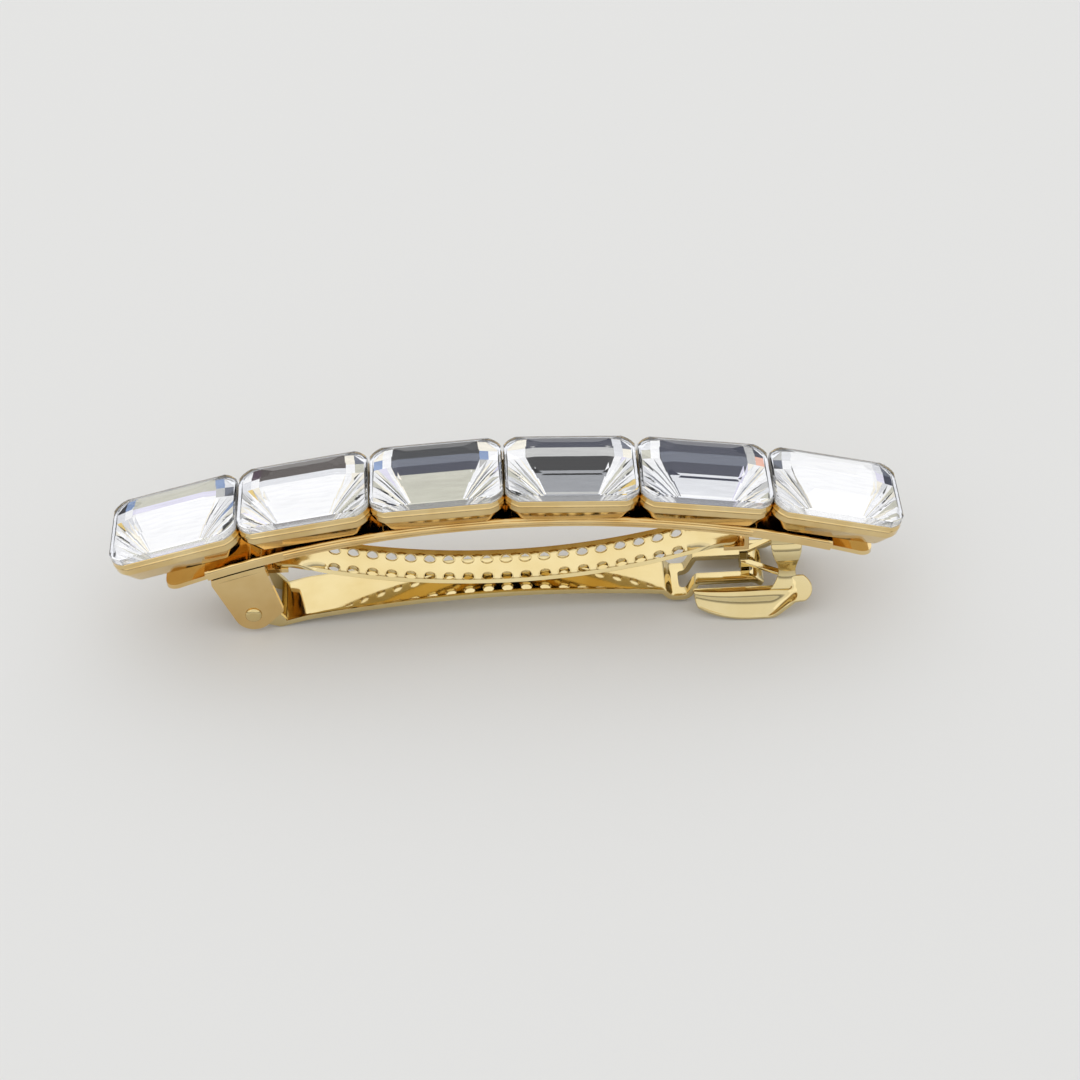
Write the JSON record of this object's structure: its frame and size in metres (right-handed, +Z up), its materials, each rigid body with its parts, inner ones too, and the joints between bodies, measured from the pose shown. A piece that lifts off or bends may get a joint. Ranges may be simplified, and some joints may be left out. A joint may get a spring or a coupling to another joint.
{
  "type": "rhinestone spring barrette hair clip",
  "caption": "Arched spring barrette with a row of octagon step-cut stones in metal settings, a hinged clasp arm, a pierced spring bar and a squeeze-open sprung catch.",
  "frame": {"origin": "bottom centre of the whole clip's bounding box, at the level it stands on: the clasp arm's heel and the rims of the catch's ears", "axes": "+X along the clip from the hinge end to the catch end, +Y across the clip, +Z up to the stones"},
  "size_m": [0.0842, 0.0122, 0.019],
  "materials": {
    "crystal": "polished step-cut crystal",
    "setting_gold": "polished pale gold plating",
    "plate_gold": "polished pale gold plating on steel",
    "spring_gold": "polished pale gold plating on spring steel"
  },
  "bodies": {
    "frame": {"base_plate": "plate_gold", "hinge_bracket": "plate_gold", "hinge_pin": "plate_gold", "tension_bar": "spring_gold", "catch_web": "plate_gold", "setting_1": "setting_gold", "setting_2": "setting_gold", "setting_3": "setting_gold", "setting_4": "setting_gold", "setting_5": "setting_gold", "setting_6": "setting_gold", "stone_1": "crystal", "stone_2": "crystal", "stone_3": "crystal", "stone_4": "crystal", "stone_5": "crystal", "stone_6": "crystal"},
    "arm": {"clasp_arm": "spring_gold"},
    "ear_front": {"catch_ear_front": "spring_gold"},
    "ear_back": {"catch_ear_back": "spring_gold"}
  },
  "joints": [
    {"name": "arm_hinge", "type": "hinge", "parent": "frame", "child": "arm", "pos_m": [-0.0276, 0, 0.00265], "axis": [0, 1, 0], "range_deg": [0, 85]},
    {"name": "ear_front_squeeze", "type": "hinge", "parent": "frame", "child": "ear_front", "pos_m": [0.0298, -0.00317, 0.0091], "axis": [1, 0, 0], "range_deg": [0, 5], "stiffness_Nm_per_rad": 0.14},
    {"name": "ear_back_squeeze", "type": "hinge", "parent": "frame", "child": "ear_back", "pos_m": [0.0298, 0.00317, 0.0091], "axis": [1, 0, 0], "range_deg": [-5, 0], "stiffness_Nm_per_rad": 0.14}
  ],
  "couplings": [
    {"joint": "ear_back_squeeze", "follows": "ear_front_squeeze", "ratio": -1}
  ]
}
